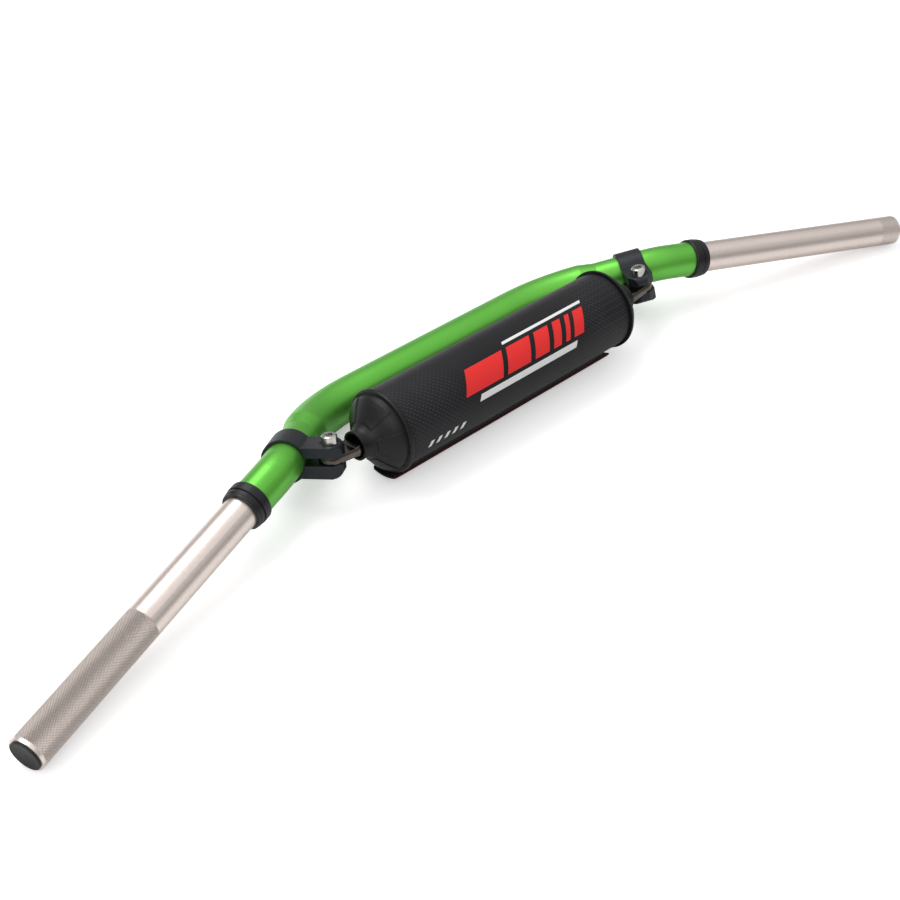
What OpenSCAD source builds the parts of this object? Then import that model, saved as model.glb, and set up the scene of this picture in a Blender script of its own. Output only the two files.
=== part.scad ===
// Motocross handlebar: a green outer tube over a full-width inner tube, with a crossbar
// bolted between two clamps and a round pad on the crossbar.
// The bar is drawn upright, rise towards +Z, and then laid down as it rests on a table:
// on its two tips and its centre tube. The origin is the middle of the centre tube and
// X runs along that tube. Lengths are in millimetres.

/* [Bends] */
// Straight length of the centre, from bend to bend
centre_len = 154; // [140:1:170]
// Angle of the first bend, which makes the rise
rise_angle = 35.2; // [30:0.1:38]
// Radius of the first bend at the tube's axis
rise_bend_r = 96; // [80:1:110]
// Straight length between the two bends
rise_len = 46; // [44:1:60]
// Angle of the second bend
sweep_angle = 26.1; // [22:0.1:30]
// Radius of the second bend at the tube's axis
sweep_bend_r = 45; // [42:1:60]
// Turn of the second bend about the tube, which makes the pull-back
sweep_roll = 150; // [140:1:160]
// Straight length from the second bend to the tip
grip_len = 223.5; // [215:0.5:240]

/* [Tubes] */
// Diameter of the outer tube at the centre
centre_d = 28.6; // [27:0.1:30]
// Diameter of the outer tube past its taper
outer_end_d = 25; // [24.6:0.1:26]
// Length of the taper after the first bend
taper_len = 12; // [6:1:18]
// Wall of the outer tube at the centre
centre_wall = 1.9; // [1.5:0.1:2.4]
// Diameter of the inner tube and the grips
inner_d = 22.2; // [21.8:0.1:22.4]
// Wall of the inner tube
inner_wall = 3.2; // [2.5:0.1:4]
// Gap all round between pieces that slide together
fit_gap = 0.05; // [0.02:0.01:0.1]
// How much smaller in radius the inner tube is under the outer tube and the collars
seat_relief = 0.25; // [0.2:0.01:0.4]

/* [End collars] */
// Distance from the second bend to the collar
collar_from_bend = 18; // [14:0.5:24]
// Length of the whole collar
collar_len = 12; // [11:0.5:14]
// Diameter of the collar's wide band
collar_d = 28.4; // [27.6:0.1:30]
// Length of the wide band
collar_band = 6.5; // [5:0.5:7]
// Rounding of the band's inner edge
collar_round = 1.5; // [0.8:0.1:2]
// Width of the groove beside the band
collar_groove = 0.8; // [0.5:0.1:1.2]
// Diameter in the groove
collar_groove_d = 26.6; // [26:0.1:27]
// Diameter of the small step next to the groove
collar_step_d = 27.6; // [27:0.1:27.8]
// Diameter at the collar's outer end
collar_nose_d = 24.8; // [23.8:0.1:25]
// Depth of the outer tube inside the collar
collar_socket = 8.5; // [6:0.5:9]

/* [Crossbar clamps] */
// Distance from the second bend back to the middle of the clamp
clamp_inset = 8.5; // [6:0.5:11]
// Width of the clamp along the tube
clamp_w = 18; // [17:0.5:21]
// Diameter of the clamp's band
clamp_d = 29.4; // [29:0.1:31]
// Turn of the clamp about the tube, towards the rider
clamp_roll = 10; // [0:1:15]
// Height of the upper ear above the middle of the slot
ear_up = 11; // [10.5:0.5:13]
// Depth of the lower ear below the middle of the slot
ear_down = 9.5; // [9:0.5:12]
// Distance from the tube's axis to the end of the ears
ear_reach = 35.5; // [34:0.5:38]
// Distance from the tube's axis to the bolt
bolt_reach = 27.5; // [26:0.1:28]
// Corner cut at the end of each ear
ear_cut = 5.5; // [3:0.5:7]
// Rounding of the ears' outer end
ear_round = 4; // [2:0.5:5]

/* [Bolts and nuts] */
// Diameter of the bolt's thread
bolt_d = 6; // [5:1:6]
// Diameter of the bolt's head
bolt_head_d = 10; // [9:0.5:10.5]
// Height of the bolt's head
bolt_head_h = 6; // [4:0.5:6]
// Size across the flats of the hexagon socket
socket_af = 5; // [4:0.5:5]
// Depth of the hexagon socket
socket_depth = 3.4; // [2:0.1:3.6]
// Depth of the round seat in the upper ear
seat_depth = 2; // [1:0.5:3]
// Diameter of the round seat
seat_d = 12.4; // [12:0.1:13]
// Clearance hole for the bolt
bolt_hole_d = 6.6; // [6.4:0.1:7]
// Size across the flats of the nut
nut_af = 10; // [9:0.5:10]
// Thickness of the nut
nut_h = 5; // [4:0.5:5]

/* [Crossbar] */
// Diameter of the crossbar
rod_d = 11; // [10:0.1:12]
// Thickness of its flattened ends
blade_t = 5.4; // [4.6:0.1:5.8]
// Width of its flattened ends
blade_w = 16; // [14:0.5:16]
// Length of the flat part from the bolt to the round part's shoulder
blade_len = 14; // [12:0.5:16]
// Length of the shoulder between flat and round
shoulder_len = 22; // [18:1:26]

/* [Pad] */
// Length of the round cover
pad_len = 208; // [202:1:212]
// How far the whole pad sits towards the left
pad_shift = 0.5; // [0:0.5:3]
// Radius of the cover away from its flap
pad_r = 26.9; // [25:0.1:28]
// Thickness of the cover
cover_t = 1.3; // [1:0.1:1.6]
// How much the flap stands off at its hem
flap_lift = 5.4; // [4.8:0.1:6]
// Direction of the hem round the crossbar
hem_angle = 173.7; // [150:0.1:190]
// Overlap under the flap, in degrees round the pad
overlap_angle = 44; // [36:1:55]
// How far both ends of the flap sit to the left of the rims
flap_skew = 4.5; // [2:0.5:7]
// Thickness of the loop strip
loop_t = 1.3; // [1:0.1:1.4]
// Width of both fastener strips, in degrees round the pad
strip_angle = 36; // [25:1:40]
// Slit through the foam to its bore
foam_slit = 1; // [0.6:0.1:2]

/* [Pad ends] */
// Length of each pad end
end_len = 24; // [22:0.5:26]
// Radius of its neck round the crossbar
neck_r = 9.8; // [9.4:0.1:11]
// Hole for the crossbar
neck_hole_r = 8.4; // [8.2:0.1:8.6]
// Radius of its lip, which stands proud of the cover
lip_r = 28.5; // [28:0.1:29]
// Thickness of the lip
lip_t = 2.5; // [2:0.5:3]
// Length of the neck
neck_len = 3; // [2:0.5:5]
// Wall of the pad end
end_wall = 1.8; // [1.4:0.1:2.2]
// Depth of its spigot inside the cover
spigot_len = 6; // [4:0.5:10]
// Number of raised panels
panels = 5; // [4:1:6]
// Width of a panel, in degrees round the end
panel_angle = 40; // [30:1:42]
// Height of a panel
panel_h = 0.8; // [0.4:0.1:1]

/* [End plugs] */
// Diameter of the plug's flange
plug_d = 19.6; // [17:0.1:21]
// Thickness of the flange
plug_flange = 1.2; // [1.1:0.1:2]
// Length of the stub in the tube
plug_stub = 12; // [8:1:16]
// Depth of the dish in its face
plug_dish = 0.7; // [0.3:0.1:0.9]

/* [Hidden] */
$fn = 72;

green = [0.16, 0.62, 0.13];
titanium = [0.66, 0.63, 0.58];
black = [0.07, 0.07, 0.08];
bronze = [0.27, 0.24, 0.22];

// How far straight and bent lengths of a tube run into each other
lap = 0.02;
centre_r = centre_d / 2;
outer_end_r = outer_end_d / 2;
inner_r = inner_d / 2;
inner_bore_r = inner_r - inner_wall;
// Where the bare part of the inner tube starts, just past the collar
bare_from = collar_from_bend + collar_len + 4 * fit_gap;

// Directions along and across the rise, and of the second bend
rise_dir = [cos(rise_angle), 0, sin(rise_angle)];
rise_up = [-sin(rise_angle), 0, cos(rise_angle)];
sweep_side = [0, -sin(sweep_roll), 0] + cos(sweep_roll) * rise_up;
grip_dir = cos(sweep_angle) * rise_dir + sin(sweep_angle) * sweep_side;
// Points on the tube's axis: the start and end of the straight rise, and the tip
rise_start = [centre_len / 2 + rise_bend_r * sin(rise_angle), 0,
    rise_bend_r * (1 - cos(rise_angle))];
rise_end = rise_start + rise_len * rise_dir;
tip = rise_end + sweep_bend_r * sin(sweep_angle) * rise_dir
    + sweep_bend_r * (1 - cos(sweep_angle)) * sweep_side + grip_len * grip_dir;

// Angle of the rise above the table when both tips and the centre tube touch it
function tip_drop(a) = inner_r * sqrt(1 - pow(grip_dir.y * cos(a) + grip_dir.z * sin(a), 2));
function lying(a, n) = n == 0 ? a
    : lying(atan2(tip.z, tip.y) - acos((tip_drop(a) - centre_r) / norm([tip.y, tip.z])), n - 1);
lie_angle = lying(25, 6);

// Eye of the crossbar on the right side, and the crossbar's own axis
clamp_pos = rise_start + (rise_len - clamp_inset) * rise_dir;
ear_dir = [0, -sin(clamp_roll), 0] + cos(clamp_roll) * rise_up;
bolt_dir = [0, cos(clamp_roll), 0] + sin(clamp_roll) * rise_up;
eye = clamp_pos + bolt_reach * ear_dir;
blade_dir = (-[1, 0, 0] + bolt_dir.x * bolt_dir) / sqrt(1 - bolt_dir.x * bolt_dir.x);
blade_root = eye + blade_len * blade_dir;
rod_half = blade_root.x - shoulder_len;
// How far a flattened end runs into its shoulder
blade_lap = 2;
// Across the crossbar, as near as can be to the bolt
rod_up = [0, bolt_dir.y, bolt_dir.z] / norm([bolt_dir.y, bolt_dir.z]);
slot_h = blade_t + 2 * fit_gap;

pad_half = pad_len / 2;
pad_in_r = pad_r - cover_t;
flap_r = pad_r + flap_lift / 2 + lap;
// Degrees by which the round side of the cover runs on under the start of the flap
ease = 3;
spigot_r = pad_in_r - fit_gap;

module lay() {
    rotate([90 - lie_angle, 0, 0]) children();
}

module on_left() {
    mirror([1, 0, 0]) children();
}

module bend(r, angle, tube_r) {
    translate([0, 0, r]) rotate([90, 90, 0]) rotate_extrude(angle = angle)
        translate([r, 0]) circle(r = tube_r);
}

module after_bend(r, angle) {
    translate([r * sin(angle), 0, r - r * cos(angle)]) rotate([0, -angle, 0]) children();
}

module at_rise() {
    translate([centre_len / 2, 0, 0]) after_bend(rise_bend_r, rise_angle) children();
}

module at_sweep() {
    at_rise() translate([rise_len, 0, 0]) rotate([sweep_roll, 0, 0]) children();
}

module at_grip() {
    at_sweep() after_bend(sweep_bend_r, sweep_angle) children();
}

module at_clamp() {
    at_rise() translate([rise_len - clamp_inset, 0, 0]) rotate([clamp_roll, 0, 0]) children();
}

// The bolt's axis, pointing out of the upper ear
module at_bolt() {
    at_clamp() translate([0, 0, bolt_reach]) rotate([-90, 0, 0]) children();
}

// A plane across the crossbar: x towards the front of the bar, y up, z along the crossbar
module at_pad() {
    translate([-pad_shift, blade_root.y, blade_root.z]) rotate([90, 0, 90]) children();
}

module along(h, r1, r2) {
    rotate([0, 90, 0]) cylinder(h = h, r1 = r1, r2 = r2);
}

// A bent bar of round section, from tip side to tip side. The straight lengths lap into
// the bends by a hair, a hair larger.
module bent_bar(mid_r, end_r, end_len) {
    rotate([0, 90, 0]) cylinder(h = centre_len + 2 * lap, r = mid_r + lap / 2, center = true);
    for (side = [0, 1]) mirror([side, 0, 0]) {
        translate([centre_len / 2, 0, 0]) bend(rise_bend_r, rise_angle, mid_r);
        at_rise() rotate([0, 90, 0]) rotate_extrude()
            polygon([[0, -lap], [mid_r + lap / 2, -lap], [mid_r + lap / 2, 0],
                [end_r + lap / 2, taper_len], [end_r + lap / 2, rise_len + lap],
                [0, rise_len + lap]]);
        at_sweep() bend(sweep_bend_r, sweep_angle, end_r);
        at_grip() translate([-lap, 0, 0]) along(end_len + lap, end_r + lap / 2, end_r + lap / 2);
    }
}

module outer_tube() {
    reach = collar_from_bend + collar_socket;
    color(green) lay() difference() {
        bent_bar(centre_r, outer_end_r, reach);
        bent_bar(centre_r - centre_wall, inner_r + 2 * fit_gap, reach + 1);
    }
}

module inner_tube() {
    color(titanium) lay() difference() {
        union() {
            bent_bar(inner_r - seat_relief, inner_r - seat_relief, bare_from + 1);
            for (side = [0, 1]) mirror([side, 0, 0]) at_grip()
                translate([bare_from, 0, 0]) along(grip_len - bare_from, inner_r, inner_r);
        }
        bent_bar(inner_bore_r, inner_bore_r, grip_len + 1);
    }
}

module collar_profile() {
    band_r = collar_d / 2;
    step_z = collar_band + collar_groove;
    square([collar_groove_d / 2, collar_len]);
    square([band_r - collar_round, collar_band]);
    translate([0, collar_round]) square([band_r, collar_band - collar_round]);
    translate([band_r - collar_round, collar_round]) circle(r = collar_round);
    polygon([[0, step_z], [collar_step_d / 2, step_z],
        [collar_step_d / 2, (step_z + collar_len) / 2],
        [collar_nose_d / 2, collar_len], [0, collar_len]]);
}

module end_collar() {
    at_grip() translate([collar_from_bend, 0, 0])
        rotate([0, 90, 0]) difference() {
            rotate_extrude() intersection() {
                collar_profile();
                polygon([[0, 0], [collar_d, 0], [collar_d, collar_len - 1],
                    [collar_nose_d / 2, collar_len], [0, collar_len]]);
            }
            translate([0, 0, -1]) cylinder(h = collar_socket + 1, r = outer_end_r + fit_gap);
            cylinder(h = collar_len + 1, r = inner_r + fit_gap);
        }
}

module left_end_collar() {
    color(black) lay() on_left() end_collar();
}

module right_end_collar() {
    color(black) lay() end_collar();
}

// Side view of the ears: the ends are rounded above and below
module ear_side() {
    translate([-ear_up, 0]) square([ear_up + ear_down, ear_reach - ear_round]);
    translate([-ear_up + ear_round, 0])
        square([ear_up + ear_down - 2 * ear_round, ear_reach]);
    for (y = [-ear_up + ear_round, ear_down - ear_round]) translate([y, ear_reach - ear_round])
        circle(r = ear_round);
}

// View onto the ears: straight sides with cut corners at the end
module ear_face() {
    polygon([[-clamp_w / 2, 0], [clamp_w / 2, 0], [clamp_w / 2, ear_reach - ear_cut],
        [clamp_w / 2 - ear_cut, ear_reach], [-clamp_w / 2 + ear_cut, ear_reach],
        [-clamp_w / 2, ear_reach - ear_cut]]);
}

module crossbar_clamp() {
    bore_r = outer_end_r + fit_gap;
    difference() {
        at_clamp() difference() {
            union() {
                translate([-clamp_w / 2, 0, 0]) along(clamp_w, clamp_d / 2, clamp_d / 2);
                intersection() {
                    translate([-clamp_w / 2, 0, 0]) rotate([90, 0, 90])
                        linear_extrude(height = clamp_w) ear_side();
                    rotate([90, 0, 0]) linear_extrude(height = 3 * ear_up, center = true)
                        ear_face();
                }
            }
            translate([-clamp_w / 2 - 1, -slot_h / 2, 0])
                cube([clamp_w + 2, slot_h, ear_reach + 1]);
        }
        at_rise() translate([taper_len, 0, 0]) along(rise_len - taper_len, bore_r, bore_r);
        at_sweep() bend(sweep_bend_r, sweep_angle, bore_r);
        at_bolt() {
            cylinder(h = 3 * ear_up, d = bolt_hole_d, center = true);
            translate([0, 0, ear_up - seat_depth]) cylinder(h = seat_depth + 1, d = seat_d);
            translate([0, 0, -ear_down - 1])
                cylinder(h = nut_h + 1, d = (nut_af + 2 * fit_gap) / cos(30), $fn = 6);
        }
    }
}

module left_crossbar_clamp() {
    color(black) lay() on_left() crossbar_clamp();
}

module right_crossbar_clamp() {
    color(black) lay() crossbar_clamp();
}

module clamp_bolt() {
    seat = ear_up - seat_depth;
    chamfer = bolt_head_h / 8;
    at_bolt() difference() {
        union() {
            translate([0, 0, seat]) cylinder(h = bolt_head_h - chamfer, d = bolt_head_d);
            translate([0, 0, seat + bolt_head_h - chamfer])
                cylinder(h = chamfer, d1 = bolt_head_d, d2 = bolt_head_d - 2 * chamfer);
            translate([0, 0, -ear_down + fit_gap])
                cylinder(h = seat + ear_down - fit_gap, d = bolt_d);
        }
        translate([0, 0, seat + bolt_head_h - socket_depth])
            cylinder(h = socket_depth + 1, d = socket_af / cos(30), $fn = 6);
    }
}

module left_clamp_bolt() {
    color("silver") lay() on_left() clamp_bolt();
}

module right_clamp_bolt() {
    color("silver") lay() clamp_bolt();
}

module clamp_nut() {
    at_bolt() translate([0, 0, -ear_down]) difference() {
        cylinder(h = nut_h, d = nut_af / cos(30), $fn = 6);
        translate([0, 0, -1]) cylinder(h = nut_h + 2, d = bolt_d + 2 * fit_gap);
    }
}

module left_clamp_nut() {
    color("silver") lay() on_left() clamp_nut();
}

module right_clamp_nut() {
    color("silver") lay() clamp_nut();
}

// A frame with x along one direction and z as near as can be to the bolt
module frame(along_dir, up_dir, at) {
    side_dir = cross(up_dir, along_dir);
    multmatrix([[along_dir.x, side_dir.x, up_dir.x, at.x],
        [along_dir.y, side_dir.y, up_dir.y, at.y],
        [along_dir.z, side_dir.z, up_dir.z, at.z],
        [0, 0, 0, 1]]) children();
}

// One flattened end, in the clamp's slot: a slice of a round-ended bar
module blade() {
    frame(blade_dir, bolt_dir, eye) difference() {
        intersection() {
            rotate([0, 90, 0]) rotate_extrude() {
                intersection() {
                    circle(d = blade_w);
                    translate([0, -blade_w]) square([blade_w, blade_w + 0.01]);
                }
                square([blade_w / 2, blade_len + blade_lap]);
            }
            cube([4 * blade_w, 2 * blade_w, blade_t], center = true);
        }
        cylinder(h = blade_t + 2, d = bolt_hole_d, center = true);
    }
}

// The round bar and its two shoulders, which widen and thin down to the flattened ends
module rod_body() {
    flare = blade_root.x - blade_lap;
    wide = blade_w / 2 + 0.05;
    thin = blade_t / 2 + 0.25;
    frame([1, 0, 0], rod_up, [0, blade_root.y, blade_root.z]) intersection() {
        rotate([0, 90, 0]) rotate_extrude()
            polygon([[0, -blade_root.x], [wide, -blade_root.x], [wide, -flare],
                [rod_d / 2, -rod_half], [rod_d / 2, rod_half],
                [wide, flare], [wide, blade_root.x], [0, blade_root.x]]);
        rotate([90, 0, 0]) linear_extrude(height = 2 * blade_w, center = true)
            polygon([[-blade_root.x, -thin], [-rod_half, -rod_d / 2 - 0.1],
                [rod_half, -rod_d / 2 - 0.1], [blade_root.x, -thin],
                [blade_root.x, thin], [rod_half, rod_d / 2 + 0.1],
                [-rod_half, rod_d / 2 + 0.1], [-blade_root.x, thin]]);
    }
}

module crossbar() {
    color(bronze) lay() {
        rod_body();
        blade();
        on_left() blade();
    }
}

// A wedge of the plane, from one direction round the crossbar to another
module sector(from, to) {
    far = 3 * pad_r;
    steps = ceil((to - from) / 60);
    polygon(concat([[0, 0]], [for (i = [0:steps])
        far * [cos(from + (to - from) * i / steps), sin(from + (to - from) * i / steps)]]));
}

// The flap lies on a circle that is shifted towards the hem
module flap_circle(r) {
    translate(flap_lift / 2 * [cos(hem_angle), sin(hem_angle)]) circle(r = r);
}

// Round cover with one edge tucked under the other
module cover_section() {
    difference() {
        circle(r = pad_r);
        circle(r = pad_in_r);
        sector(hem_angle + overlap_angle, hem_angle + 180 - ease);
    }
    intersection() {
        difference() {
            flap_circle(flap_r);
            flap_circle(flap_r - cover_t);
        }
        sector(hem_angle, hem_angle + 180);
    }
}

// The part of the section that is flap only
module flap_section() {
    intersection() {
        difference() {
            cover_section();
            circle(r = pad_r + fit_gap);
        }
        sector(hem_angle - 10, hem_angle + overlap_angle + 4);
    }
}

module pad_cover() {
    color(black) lay() at_pad() {
        difference() {
            translate([0, 0, -pad_half]) linear_extrude(height = pad_len) cover_section();
            translate([0, 0, pad_half - flap_skew]) linear_extrude(height = flap_skew + 1)
                flap_section();
        }
        translate([0, 0, -pad_half - flap_skew]) linear_extrude(height = flap_skew + 1)
            flap_section();
    }
}

module strip_length() {
    margin = 6;
    translate([0, 0, -pad_half + margin])
        linear_extrude(height = pad_len - flap_skew - 2 * margin) children();
}

module loop_strip() {
    color("dimgray") lay() at_pad() strip_length() intersection() {
        difference() {
            circle(r = pad_r + loop_t);
            circle(r = pad_r + fit_gap);
        }
        sector(hem_angle + 2, hem_angle + strip_angle + 2);
    }
}

module hook_strip() {
    color("dimgray") lay() at_pad() strip_length() intersection() {
        difference() {
            flap_circle(flap_r - cover_t - fit_gap);
            circle(r = pad_r + loop_t + fit_gap);
        }
        sector(hem_angle + 2, hem_angle + strip_angle + 2);
    }
}

module pad_foam() {
    color([0.3, 0.3, 0.32]) lay() at_pad()
        translate([0, 0, -pad_half + spigot_len])
            linear_extrude(height = pad_len - 2 * spigot_len) difference() {
                union() {
                    circle(r = pad_in_r - fit_gap);
                    intersection() {
                        flap_circle(flap_r - cover_t - fit_gap);
                        sector(hem_angle + overlap_angle + 2, hem_angle + 180 - 2 * ease);
                    }
                }
                circle(d = rod_d + 2 * fit_gap);
                rotate(hem_angle) translate([0, -foam_slit / 2]) square([2 * pad_r, foam_slit]);
            }
}

// Length of the drop from the lip to the neck, and the radius at a distance from the rim
drop = end_len - neck_len - lip_t;
function end_r(u) = neck_r
    + (spigot_r - neck_r) * (1 + cos(180 * max(0, min(1, (u - lip_t) / drop)))) / 2;
// A strip of the profile between two distances, raised or sunk by a height
function end_band(u1, u2, low, high) = concat(
    [for (i = [0:6]) let(u = u1 + (u2 - u1) * i / 6) [end_r(u) + high, u]],
    [for (i = [6:-1:0]) let(u = u1 + (u2 - u1) * i / 6) [end_r(u) + low, u]]);

// A thin shell: spigot, rounded lip, drop and neck, with raised panels on the drop
module end_shell() {
    rotate_extrude()
        polygon(concat([[spigot_r, -spigot_len], [spigot_r, 0], [lip_r, 0], [lip_r, lip_t / 2],
                [lip_r - lip_t / 6, lip_t * 0.85], [lip_r - lip_t / 2, lip_t]],
            [for (i = [0:14]) let(u = lip_t + drop * i / 14) [end_r(u), u]],
            [[neck_r, end_len], [neck_hole_r, end_len]],
            [for (i = [9:-1:0]) let(u = lip_t + (drop - 2) * i / 9)
                [max(neck_hole_r, end_r(u + end_wall * 0.6) - end_wall), u]],
            [[spigot_r - end_wall, -spigot_len]]));
    for (i = [0:panels - 1]) rotate(hem_angle - 180 + (i + 0.5) * 360 / panels)
        rotate([0, 0, -panel_angle / 2]) rotate_extrude(angle = panel_angle)
            polygon(end_band(lip_t + 2.2, lip_t + drop - 5, -end_wall / 2, panel_h));
}

module left_pad_end() {
    color(black) lay() at_pad() translate([0, 0, -pad_half]) mirror([0, 0, 1]) end_shell();
}

module right_pad_end() {
    color(black) lay() at_pad() translate([0, 0, pad_half]) end_shell();
}

module end_plug() {
    ball_r = (pow(plug_d / 2 - 1, 2) + pow(plug_dish, 2)) / (2 * plug_dish);
    at_grip() translate([grip_len, 0, 0]) rotate([0, 90, 0]) difference() {
        union() {
            cylinder(h = plug_flange, d = plug_d);
            translate([0, 0, -plug_stub]) cylinder(h = plug_stub + 0.5, r = inner_bore_r - fit_gap);
        }
        translate([0, 0, plug_flange - plug_dish + ball_r]) sphere(r = ball_r, $fn = 144);
    }
}

module left_end_plug() {
    color(black) lay() on_left() end_plug();
}

module right_end_plug() {
    color(black) lay() end_plug();
}

outer_tube();
inner_tube();
left_end_collar();
right_end_collar();
left_crossbar_clamp();
right_crossbar_clamp();
left_clamp_bolt();
right_clamp_bolt();
left_clamp_nut();
right_clamp_nut();
crossbar();
pad_foam();
pad_cover();
hook_strip();
loop_strip();
left_pad_end();
right_pad_end();
left_end_plug();
right_end_plug();
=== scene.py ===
import math

import bpy
import numpy as np
from mathutils import Matrix, Vector

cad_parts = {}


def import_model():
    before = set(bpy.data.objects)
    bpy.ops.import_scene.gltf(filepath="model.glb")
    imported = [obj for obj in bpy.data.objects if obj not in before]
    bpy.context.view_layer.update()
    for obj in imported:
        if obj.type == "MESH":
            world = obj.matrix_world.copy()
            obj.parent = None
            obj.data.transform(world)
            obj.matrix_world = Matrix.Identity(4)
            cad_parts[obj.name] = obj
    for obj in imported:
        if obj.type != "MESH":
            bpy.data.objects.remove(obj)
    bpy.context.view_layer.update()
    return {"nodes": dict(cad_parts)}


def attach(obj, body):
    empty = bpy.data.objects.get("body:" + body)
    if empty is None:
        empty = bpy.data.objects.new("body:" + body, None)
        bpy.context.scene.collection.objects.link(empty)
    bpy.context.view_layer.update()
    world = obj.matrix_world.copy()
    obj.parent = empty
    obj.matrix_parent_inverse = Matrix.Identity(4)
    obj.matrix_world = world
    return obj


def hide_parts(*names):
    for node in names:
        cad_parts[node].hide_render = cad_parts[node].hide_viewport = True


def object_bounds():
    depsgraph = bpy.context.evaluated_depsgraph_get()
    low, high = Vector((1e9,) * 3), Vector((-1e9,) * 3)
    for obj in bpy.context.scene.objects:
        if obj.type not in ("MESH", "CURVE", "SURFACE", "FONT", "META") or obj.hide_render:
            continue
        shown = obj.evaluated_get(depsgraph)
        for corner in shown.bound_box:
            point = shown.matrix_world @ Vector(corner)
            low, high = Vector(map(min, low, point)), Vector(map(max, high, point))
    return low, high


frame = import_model()
nodes = frame["nodes"]
floor_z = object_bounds()[0].z

# The right tip and its grip's direction, and the pad's axis, as the bar lies, in metres
TIP = Vector((0.401488, -0.110948, -0.003264))
GRIP = Vector((0.953439, -0.281745, -0.107585)).normalized()
PAD = Vector((0.0, -0.0576425, 0.0211799))
# Angle of the bar's rise above the table, and where the cover's hem lies round the pad
LIE = math.radians(25.9343)
HEM = math.radians(173.7)
# The cover's outer radius, the lift of its flap's arc and its thickness
PAD_R, LIFT, SHEET = 0.0269, 0.0027, 0.0013
# Half its length, its place to the left of the middle, and how far its flap is askew
PAD_HALF, PAD_SHIFT, FLAP_SKEW = 0.104, -0.0005, 0.0045
# Tucked part of the sheet, and where the flap goes askew and how fast, in degrees of winding
TUCK_DEG, FLAP_DEG, FLAP_STEP_DEG = 44, 318.0, 5.0
# Length of sheet once round the pad up to the hem, and the seam's distance from the hem
HEM_V, SEAM_INSET = 0.1771, 0.0045

# Distances from the tip where a pattern fades in, is full, still is, and has faded out
KNURL = (0.0018, 0.0030, 0.0975, 0.0985)
RINGS = (0.0012, 0.0020, 0.0175, 0.0185)
KNURL_ROWS, KNURL_PITCH = 56.0, 900.0

# Artwork on the cover: v is the way along the sheet from under the hem, q the slanted place
# along the pad; the bars have gaps, each with its place and half its width
SLANT, ART_SHIFT = 0.55, 0.012
RED_V, RED_Q = (0.0425, 0.0590), (-0.066, 0.046)
RED_GAPS = ((-0.030, 0.0022), (-0.004, 0.0022), (0.014, 0.0022), (0.026, 0.0022), (0.0345, 0.0020))
LOW_V, LOW_Q = (0.0355, 0.0398), (-0.052, 0.040)
HIGH_V, HIGH_Q = (0.0617, 0.0638), (-0.030, 0.046)
TICK_V, TICK_Q, TICK_PITCH, TICK_FILL = (0.0225, 0.0270), (-0.091, -0.056), 0.007, 0.42


# Node-tree arithmetic


class Val:
    def __init__(self, tree, sock):
        self.t, self.s = tree, sock

    def op(self, name, *others):
        n = self.t.nodes.new("ShaderNodeMath")
        n.operation = name
        for i, x in enumerate((self,) + others):
            if isinstance(x, Val):
                self.t.links.new(x.s, n.inputs[i])
            else:
                n.inputs[i].default_value = x
        return Val(self.t, n.outputs[0])

    def __add__(self, o):
        return self.op("ADD", o)

    def __sub__(self, o):
        return self.op("SUBTRACT", o)

    def __mul__(self, o):
        return self.op("MULTIPLY", o)

    def __truediv__(self, o):
        return self.op("DIVIDE", o)

    def gt(self, o):
        return self.op("GREATER_THAN", o)

    def lt(self, o):
        return self.op("LESS_THAN", o)

    def between(self, a, b):
        return self.gt(a) * self.lt(b)

    def smooth(self, a, b, out0=0.0, out1=1.0):
        n = self.t.nodes.new("ShaderNodeMapRange")
        n.interpolation_type = "SMOOTHSTEP"
        self.t.links.new(self.s, n.inputs["Value"])
        for k, v in zip(("From Min", "From Max", "To Min", "To Max"), (a, b, out0, out1)):
            n.inputs[k].default_value = v
        return Val(self.t, n.outputs["Result"])

    def band(self, start, full, last, end):
        return self.smooth(start, full) * self.smooth(last, end, 1.0, 0.0)

    def tri(self):
        return self.op("PINGPONG", 0.5) * 2.0


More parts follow.
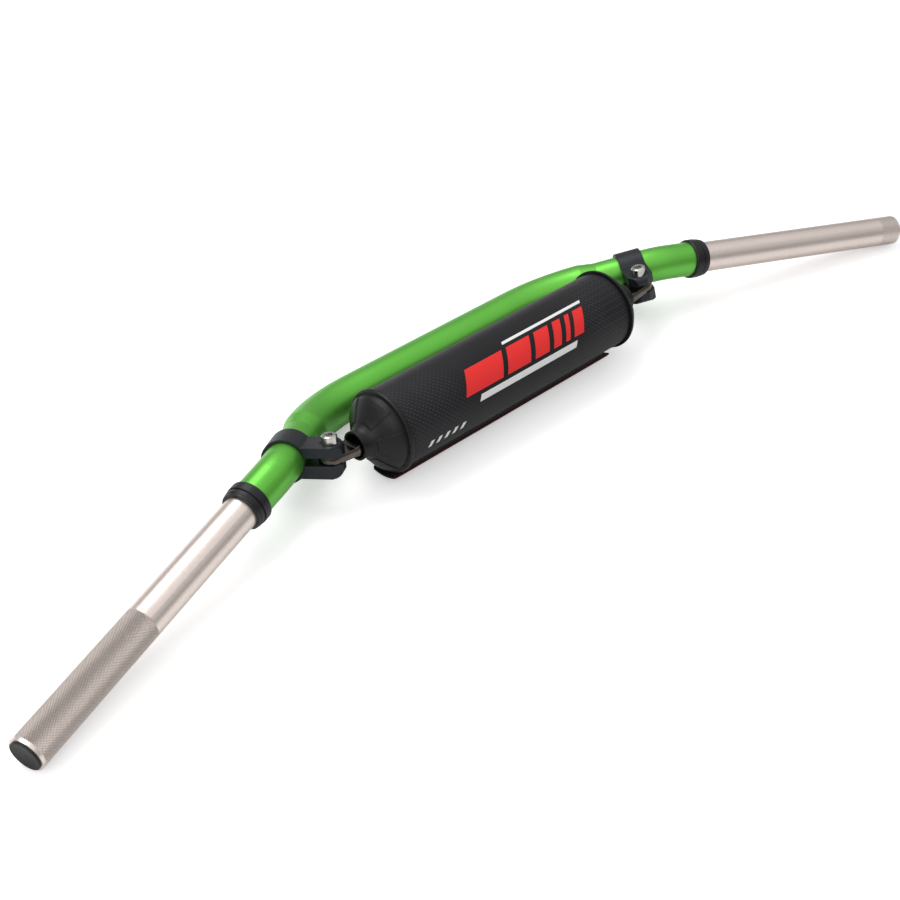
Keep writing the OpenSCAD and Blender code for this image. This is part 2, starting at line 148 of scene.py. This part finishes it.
class Mat:
    def __init__(self, name, **sockets):
        self.m = bpy.data.materials.new(name)
        self.m.use_nodes = True
        self.t = self.m.node_tree
        self.b = self.t.nodes["Principled BSDF"]
        for k, v in sockets.items():
            rgb = isinstance(v, tuple) and len(v) == 3
            self.b.inputs[k.replace("_", " ")].default_value = (*v, 1.0) if rgb else v

    def node(self, kind, **sockets):
        n = self.t.nodes.new("ShaderNode" + kind)
        for k, v in sockets.items():
            s = n.inputs[k.replace("_", " ")]
            if isinstance(v, Val):
                self.t.links.new(v.s, s)
            else:
                s.default_value = v
        return n

    def out(self, n, name=0):
        return Val(self.t, n.outputs[name])

    def put(self, v, name):
        self.t.links.new(v.s, self.b.inputs[name.replace("_", " ")])

    def position(self):
        return self.out(self.node("NewGeometry"), "Position")

    def dot(self, vec, direction):
        n = self.node("VectorMath")
        n.operation = "DOT_PRODUCT"
        self.t.links.new(vec.s, n.inputs[0])
        n.inputs[1].default_value = direction
        return self.out(n, "Value")

    def shift(self, vec, by):
        n = self.node("VectorMath")
        n.operation = "SUBTRACT"
        self.t.links.new(vec.s, n.inputs[0])
        n.inputs[1].default_value = by
        return self.out(n, 0)

    def stretch(self, vec, by):
        n = self.node("VectorMath")
        n.operation = "MULTIPLY"
        self.t.links.new(vec.s, n.inputs[0])
        n.inputs[1].default_value = by
        return self.out(n, 0)

    def vec(self, *parts):
        n = self.node("CombineXYZ")
        for i, p in enumerate(parts):
            if isinstance(p, Val):
                self.t.links.new(p.s, n.inputs[i])
            else:
                n.inputs[i].default_value = p
        return self.out(n, 0)

    def noise(self, vec, scale, detail=3.0, rough=0.5):
        n = self.node("TexNoise", Scale=scale, Detail=detail, Roughness=rough)
        self.t.links.new(vec.s, n.inputs["Vector"])
        return self.out(n, 0)

    def mix(self, fac, a, b):
        n = self.t.nodes.new("ShaderNodeMix")
        n.data_type = "RGBA"
        self.t.links.new(fac.s, n.inputs[0])
        for i, x in ((6, a), (7, b)):
            if isinstance(x, Val):
                self.t.links.new(x.s, n.inputs[i])
            else:
                n.inputs[i].default_value = (*x, 1.0)
        return Val(self.t, n.outputs[2])

    def bump(self, height, distance, strength=1.0, bevel=0.0):
        n = self.node("Bump", Strength=strength, Distance=distance)
        self.t.links.new(height.s, n.inputs["Height"])
        if bevel:
            v = self.node("Bevel", Radius=bevel)
            v.samples = 4
            self.t.links.new(v.outputs[0], n.inputs["Normal"])
        self.t.links.new(n.outputs[0], self.b.inputs["Normal"])


def tube_coords(m, origin, axis):
    """Distance from the origin along a tube's axis, and turns round it."""
    axis = axis.normalized()
    u = axis.cross(Vector((0, 0, 1))).normalized()
    v = axis.cross(u)
    p = m.shift(m.position(), origin)
    turn = m.dot(p, v).op("ARCTAN2", m.dot(p, u)) / (2 * math.pi)
    return m.dot(p, axis), turn


def diamonds(along, turn):
    """Two crossing helices round a tube, as a knurling tool leaves them."""
    one = (turn * KNURL_ROWS + along * KNURL_PITCH).tri()
    two = (turn * KNURL_ROWS - along * KNURL_PITCH).tri()
    return one.op("MINIMUM", two)


def anodised_green():
    m = Mat("green anodising", Metallic=0.8, IOR=1.5, Coat_Weight=0.2, Coat_Roughness=0.3)
    p = m.position()
    cloud = m.noise(p, 14.0, 2.0)
    grain = m.noise(p, 2600.0, 2.0)
    base = m.mix(cloud.smooth(0.3, 0.7), (0.138, 0.53, 0.060), (0.160, 0.58, 0.073))
    m.put(m.mix(grain.smooth(0.35, 0.65) * 0.35, base, (0.120, 0.47, 0.050)), "Base_Color")
    m.put(grain * 0.06 + cloud * 0.04 + 0.34, "Roughness")
    m.bump(grain, 0.00003, 0.35)
    return m.m


def titanium():
    m = Mat("titanium-grey anodising", Metallic=0.95)
    p = m.position()
    left = Vector((-TIP.x, TIP.y, TIP.z))
    s_l, a_l = tube_coords(m, left, Vector((GRIP.x, -GRIP.y, -GRIP.z)))
    s_r, a_r = tube_coords(m, TIP, -GRIP)
    on_left = m.dot(p, (1, 0, 0)).lt(0.0)
    on_right = on_left * -1.0 + 1.0
    s = s_l * on_left + s_r * on_right
    a = a_l * on_left + a_r * on_right
    brush = m.noise(m.vec(s * 900.0, a * 18.0, on_left), 1.0, 4.0, 0.6)
    cloud = m.noise(p, 22.0, 3.0)
    # Diamond knurl on the left grip, and a short finer band at the end of the right one
    knurl_on = s_l.band(*KNURL) * on_left
    rings_on = s_r.band(*RINGS) * on_right
    knurl = diamonds(s_l, a_l) * knurl_on
    rings = diamonds(s_r, a_r) * rings_on
    base = m.mix(brush.smooth(0.25, 0.75), (0.82, 0.715, 0.66), (0.90, 0.80, 0.745))
    base = m.mix(cloud.smooth(0.35, 0.7) * 0.25, base, (0.80, 0.69, 0.625))
    # Painted shade: the knurl's valleys are darkened in the colour, and the finer band's valleys
    # half as much
    valley_painted_shade = (knurl_on + rings_on * 0.5) * (knurl + rings).smooth(0.0, 0.5, 1.0, 0.0)
    base = m.mix(valley_painted_shade * 0.75, base, (0.19, 0.155, 0.138))
    m.put(base, "Base_Color")
    m.put(brush * 0.10 + 0.30 + knurl_on * 0.02, "Roughness")
    height = knurl * 9.0 + rings * 2.5 + brush * 0.10
    m.bump(height, 0.00005, 0.9)
    return m.m


def black_metal(name, colour, rough, bevel):
    m = Mat(name, Metallic=0.35, Specular_IOR_Level=0.5)
    p = m.position()
    grain = m.noise(p, 1800.0, 3.0)
    cloud = m.noise(p, 60.0, 2.0)
    wear = m.noise(p, 220.0, 4.0, 0.7)
    lighter = tuple(c * 1.8 for c in colour)
    light = cloud.smooth(0.3, 0.7) * 0.6 + wear.smooth(0.6, 0.8) * 0.2
    m.put(m.mix(light, colour, lighter), "Base_Color")
    m.put(grain * 0.12 + rough, "Roughness")
    m.bump(grain, 0.00004, 0.4, bevel)
    return m.m


def bright_steel():
    m = Mat("bright steel", Metallic=1.0)
    p = m.position()
    grain = m.noise(p, 1500.0, 3.0)
    stain = m.noise(p, 300.0, 3.0)
    m.put(m.mix(stain.smooth(0.4, 0.75), (0.72, 0.70, 0.67), (0.50, 0.48, 0.45)), "Base_Color")
    m.put(grain * 0.12 + 0.16, "Roughness")
    m.bump(grain, 0.00003, 0.3, 0.0003)
    return m.m


def gunmetal():
    m = Mat("bronze gunmetal", Metallic=1.0)
    p = m.position()
    drawn = m.noise(m.stretch(p, (60.0, 1600.0, 1600.0)), 1.0, 3.0)
    cloud = m.noise(p, 70.0, 3.0)
    m.put(m.mix(cloud.smooth(0.3, 0.7), (0.150, 0.128, 0.112), (0.095, 0.082, 0.073)), "Base_Color")
    m.put(drawn * 0.12 + 0.12, "Roughness")
    m.bump(drawn, 0.00002, 0.4, 0.0006)
    return m.m


def moulded(name, colour, rough=0.5):
    m = Mat(name, Specular_IOR_Level=0.3)
    p = m.position()
    grain = m.noise(p, 1400.0, 4.0, 0.6)
    cloud = m.noise(p, 45.0, 2.0)
    m.put(m.mix(cloud.smooth(0.3, 0.7), colour, tuple(c * 1.5 for c in colour)), "Base_Color")
    m.put(grain * 0.18 + rough - 0.09, "Roughness")
    m.bump(grain, 0.00012, 0.35, 0.0006)
    return m.m


def strip_cloth():
    m = Mat("fastener strip", Sheen_Weight=0.4, Specular_IOR_Level=0.2)
    p = m.position()
    loops = m.node("TexVoronoi", Scale=900.0)
    m.t.links.new(p.s, loops.inputs["Vector"])
    deep = m.out(loops, "Distance").smooth(0.0, 0.6)
    m.put(m.mix(deep, (0.04, 0.04, 0.042), (0.015, 0.015, 0.016)), "Base_Color")
    m.put(m.noise(p, 300.0) * 0.1 + 0.8, "Roughness")
    m.bump(m.out(loops, "Distance"), 0.0004, 0.6)
    return m.m


def cover_cloth():
    """Coated cloth: a woven print that fades to plain, red and white slanted bars, a red hem."""
    m = Mat("coated cloth", Specular_IOR_Level=0.22, Sheen_Weight=0.03, Sheen_Roughness=0.4)
    uv = m.node("UVMap")
    uv.uv_map = "flat"
    xyz = m.node("SeparateXYZ", Vector=m.out(uv, 0))
    u, v = m.out(xyz, 0), m.out(xyz, 1)
    flat = m.out(uv, 0)
    pitch = 1000.0 / 1.8
    cell_u = (u * pitch).op("FRACT")
    cell_v = (v * pitch).op("FRACT")
    check = ((u * pitch).op("FLOOR") + (v * pitch).op("FLOOR")).op("MODULO", 2.0).op("ABSOLUTE")
    lit = check * cell_v.smooth(0.0, 1.0) + (check * -1.0 + 1.0) * cell_u.smooth(1.0, 0.0) * 0.35
    patch = m.noise(flat, 16.0, 2.0).smooth(0.35, 0.65)
    ends = u.op("ABSOLUTE").smooth(0.030, 0.085)
    weave = lit * (patch * 0.6 + 0.4) * (ends * 0.85 + 0.15) * v.smooth(0.020, 0.045)
    lines = (v * (1000.0 / 4.5)).tri().smooth(0.86, 0.97)
    lines = lines * u.smooth(0.045, 0.085) * v.smooth(0.03, 0.04)
    thread = (u * 2200.0).tri() + (v * 2200.0).tri()
    base = m.mix(weave, (0.0075, 0.0070, 0.0085), (0.040, 0.040, 0.046))
    base = m.mix(lines * 0.5, base, (0.05, 0.05, 0.055))
    # Slanted bars: a red row between two white rows, and small white ticks
    q = u - v * SLANT + ART_SHIFT
    red_on = v.between(*RED_V) * q.between(*RED_Q)
    for place, half in RED_GAPS:
        red_on = red_on * (q - place).op("ABSOLUTE").gt(half)
    white_on = v.between(*LOW_V) * q.between(*LOW_Q) + v.between(*HIGH_V) * q.between(*HIGH_Q)
    tick_on = v.between(*TICK_V) * q.between(*TICK_Q) * (q / TICK_PITCH).op("FRACT").lt(TICK_FILL)
    base = m.mix(red_on, base, (0.80, 0.030, 0.028))
    base = m.mix((white_on + tick_on).op("MINIMUM", 1.0), base, (0.80, 0.80, 0.79))
    base = m.mix(v.gt(HEM_V - 0.0009), base, (0.10, 0.010, 0.008))
    base = m.mix(thread * 0.05, base, (0.0, 0.0, 0.0))
    m.put(base, "Base_Color")
    print_on = (red_on + white_on + tick_on).op("MINIMUM", 1.0)
    m.put(weave * -0.10 + 0.46 + print_on * 0.05 + m.noise(flat, 700.0) * 0.08, "Roughness")
    seam = (v - (HEM_V - SEAM_INSET)).op("ABSOLUTE").smooth(0.0003, 0.0010, 1.0, 0.0)
    stitch = seam * (u * (1000.0 / 3.4)).op("FRACT").between(0.12, 0.80)
    height = thread * 0.12 + weave * 0.35 + stitch * 1.6 - seam * 0.9 + lines * 0.4
    m.bump(height, 0.00022, 0.55)
    return m.m


def pad_wrap():
    """The cover: one sheet that winds round the foam and ends in a lifted flap."""
    rng = np.random.default_rng(11)
    spans = ((20, 90), (0.6, 3.0), (0, 6.3), (0.3, 1.0))
    waves = [tuple(rng.uniform(*span) for span in spans) for _ in range(14)]
    # Steps of 3 degrees up to the hem, and of 1 degree there
    degrees = np.concatenate([np.arange(-TUCK_DEG, 356, 3.0), np.arange(356, 360.01, 1.0)])
    turns = np.radians(degrees)
    along = np.linspace(-PAD_HALF, PAD_HALF, 106)
    nu, nv = len(along), len(turns)
    sheet_r = PAD_R - 0.00005

    def outer(a):
        if a <= math.pi:
            return sheet_r
        c = math.cos(a)
        return LIFT * c + math.sqrt((sheet_r + LIFT) ** 2 - (LIFT * math.sin(a)) ** 2)

    arc = np.zeros(nv)
    for i in range(1, nv):
        arc[i] = arc[i - 1] + outer(turns[i]) * (turns[i] - turns[i - 1])
    tuck = float(np.interp(0.0, turns, arc))
    verts, uvs = [], []
    for layer in (0, 1):
        for j, a in enumerate(turns):
            flap = min(1.0, max(0.0, (math.degrees(a) - FLAP_DEG) / FLAP_STEP_DEG))
            x0 = PAD_SHIFT - PAD_HALF - FLAP_SKEW * flap
            x1 = PAD_SHIFT + PAD_HALF - FLAP_SKEW * flap
            for i, x in enumerate(along):
                t = i / (nu - 1)
                xx = x0 + (x1 - x0) * t
                edge = min(t, 1 - t) * 2 * PAD_HALF
                soft = sum(w * math.sin(k * xx + n * a + ph) for k, n, ph, w in waves) / len(waves)
                dip = 0.00016 * (soft - 0.55) - 0.0005 * max(0.0, 1 - edge / 0.004) ** 2
                r = outer(a) + min(0.0, dip) * (0.25 if a < 0 else 1.0) - layer * (SHEET - 0.0001)
                ang = HEM - a
                y, z = r * math.cos(ang), r * math.sin(ang)
                back = y * math.sin(LIE) - z * math.cos(LIE)
                up = y * math.cos(LIE) + z * math.sin(LIE)
                verts.append((xx, PAD.y + back, PAD.z + up))
                uvs.append((xx, arc[j] - tuck))
    n = nu * nv
    faces = []
    for j in range(nv - 1):
        for i in range(nu - 1):
            q = [j * nu + i, j * nu + i + 1, (j + 1) * nu + i + 1, (j + 1) * nu + i]
            faces.append(q)
            faces.append([n + k for k in reversed(q)])
    for i in range(nu - 1):
        faces.append([i + 1, i, n + i, n + i + 1])
        b = (nv - 1) * nu
        faces.append([b + i, b + i + 1, n + b + i + 1, n + b + i])
    for j in range(nv - 1):
        faces.append([j * nu, (j + 1) * nu, n + (j + 1) * nu, n + j * nu])
        e = nu - 1
        faces.append([(j + 1) * nu + e, j * nu + e, n + j * nu + e, n + (j + 1) * nu + e])
    mesh = bpy.data.meshes.new("pad_wrap")
    mesh.from_pydata(verts, [], faces)
    layer = mesh.uv_layers.new(name="flat")
    for loop in mesh.loops:
        layer.data[loop.index].uv = uvs[loop.vertex_index]
    mesh.update()
    mesh.polygons.foreach_set("use_smooth", [True] * len(mesh.polygons))
    obj = bpy.data.objects.new("pad_wrap", mesh)
    bpy.context.scene.collection.objects.link(obj)
    bev = obj.modifiers.new("edges", "BEVEL")
    bev.width, bev.segments = 0.0004, 2
    bev.limit_method, bev.angle_limit = "ANGLE", math.radians(50)
    obj.data.materials.append(cover_cloth())
    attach(obj, "root")
    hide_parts("pad_cover")
    return obj


def assign(material, *names):
    for name in names:
        o = nodes[name]
        o.data.materials.clear()
        o.data.materials.append(material)


assign(anodised_green(), "outer_tube")
assign(titanium(), "inner_tube")
collar_black = black_metal("collar anodising", (0.010, 0.010, 0.012), 0.34, 0.0005)
clamp_black = black_metal("clamp anodising", (0.011, 0.013, 0.017), 0.36, 0.0009)
assign(collar_black, "left_end_collar", "right_end_collar")
assign(clamp_black, "left_crossbar_clamp", "right_crossbar_clamp")
assign(bright_steel(), "left_clamp_bolt", "right_clamp_bolt", "left_clamp_nut", "right_clamp_nut")
assign(gunmetal(), "crossbar")
assign(moulded("foam", (0.02, 0.02, 0.022), 0.8), "pad_foam")
assign(strip_cloth(), "hook_strip", "loop_strip")
assign(moulded("moulded pad end", (0.0050, 0.0050, 0.0055), 0.42), "left_pad_end", "right_pad_end")
assign(moulded("plug plastic", (0.012, 0.012, 0.013), 0.5), "left_end_plug", "right_end_plug")
pad_wrap()

# Floor, light and camera


def floor():
    mesh = bpy.data.meshes.new("floor")
    mesh.from_pydata([(-8, -8, 0), (8, -8, 0), (8, 8, 0), (-8, 8, 0)], [], [(0, 1, 2, 3)])
    obj = bpy.data.objects.new("floor", mesh)
    obj.location.z = floor_z - 0.0001
    bpy.context.scene.collection.objects.link(obj)
    m = bpy.data.materials.new("floor")
    m.use_nodes = True
    t = m.node_tree
    t.nodes.clear()
    out = t.nodes.new("ShaderNodeOutputMaterial")
    path = t.nodes.new("ShaderNodeLightPath")
    plain = t.nodes.new("ShaderNodeBsdfDiffuse")
    plain.inputs["Color"].default_value = (0.8, 0.8, 0.8, 1)
    seen = t.nodes.new("ShaderNodeBsdfDiffuse")
    seen.inputs["Color"].default_value = (0.86, 0.86, 0.86, 1)
    glow = t.nodes.new("ShaderNodeEmission")
    glow.inputs["Strength"].default_value = 0.42
    add = t.nodes.new("ShaderNodeAddShader")
    mix = t.nodes.new("ShaderNodeMixShader")
    t.links.new(seen.outputs[0], add.inputs[0])
    t.links.new(glow.outputs[0], add.inputs[1])
    t.links.new(path.outputs["Is Camera Ray"], mix.inputs[0])
    t.links.new(plain.outputs[0], mix.inputs[1])
    t.links.new(add.outputs[0], mix.inputs[2])
    t.links.new(mix.outputs[0], out.inputs[0])
    obj.data.materials.append(m)


def area(name, place, target, size, power, colour=(1, 1, 1)):
    data = bpy.data.lights.new(name, "AREA")
    data.shape, data.size, data.size_y = "RECTANGLE", size[0], size[1]
    data.energy, data.color = power, colour
    obj = bpy.data.objects.new(name, data)
    obj.location = place
    obj.rotation_mode = "QUATERNION"
    obj.rotation_quaternion = (Vector(target) - Vector(place)).to_track_quat("-Z", "Y")
    bpy.context.scene.collection.objects.link(obj)


def world():
    w = bpy.data.worlds.new("world")
    bpy.context.scene.world = w
    w.use_nodes = True
    t = w.node_tree
    t.nodes.clear()
    out = t.nodes.new("ShaderNodeOutputWorld")
    path = t.nodes.new("ShaderNodeLightPath")
    light = t.nodes.new("ShaderNodeBackground")
    # Brighter overhead than at the horizon, so round metal shows a soft line of light
    ray = t.nodes.new("ShaderNodeTexCoord")
    split = t.nodes.new("ShaderNodeSeparateXYZ")
    sky = t.nodes.new("ShaderNodeMapRange")
    sky.interpolation_type = "SMOOTHSTEP"
    for k, v in zip(("From Min", "From Max", "To Min", "To Max"), (0.15, 0.95, 0.34, 1.15)):
        sky.inputs[k].default_value = v
    t.links.new(ray.outputs["Generated"], split.inputs[0])
    t.links.new(split.outputs[2], sky.inputs["Value"])
    t.links.new(sky.outputs["Result"], light.inputs["Strength"])
    white = t.nodes.new("ShaderNodeBackground")
    white.inputs["Color"].default_value = (1, 1, 1, 1)
    mix = t.nodes.new("ShaderNodeMixShader")
    t.links.new(path.outputs["Is Camera Ray"], mix.inputs[0])
    t.links.new(light.outputs[0], mix.inputs[1])
    t.links.new(white.outputs[0], mix.inputs[2])
    t.links.new(mix.outputs[0], out.inputs[0])


def camera():
    data = bpy.data.cameras.new("camera")
    data.sensor_width, data.lens = 36.0, 63.44
    data.clip_start, data.clip_end = 0.01, 100.0
    cam = bpy.data.objects.new("camera", data)
    right = (0.708395, -0.701766, 0.075497)
    down = (-0.413501, -0.499316, -0.761381)
    ahead = (0.572009, 0.508141, -0.643894)
    place = (-0.646880, -0.596597, 0.653145)
    rows = [[right[i], -down[i], -ahead[i], place[i]] for i in range(3)]
    cam.matrix_world = Matrix(rows + [[0, 0, 0, 1]])
    bpy.context.scene.collection.objects.link(cam)
    bpy.context.scene.camera = cam


floor()
world()
area("key", (-0.25, 0.75, 1.45), (0, -0.05, 0), (1.5, 1.0), 16.0)
area("fill", (-1.5, -0.5, 1.0), (0, -0.05, 0), (1.2, 0.8), 6.0)
camera()
bpy.context.scene.view_settings.view_transform = "Standard"
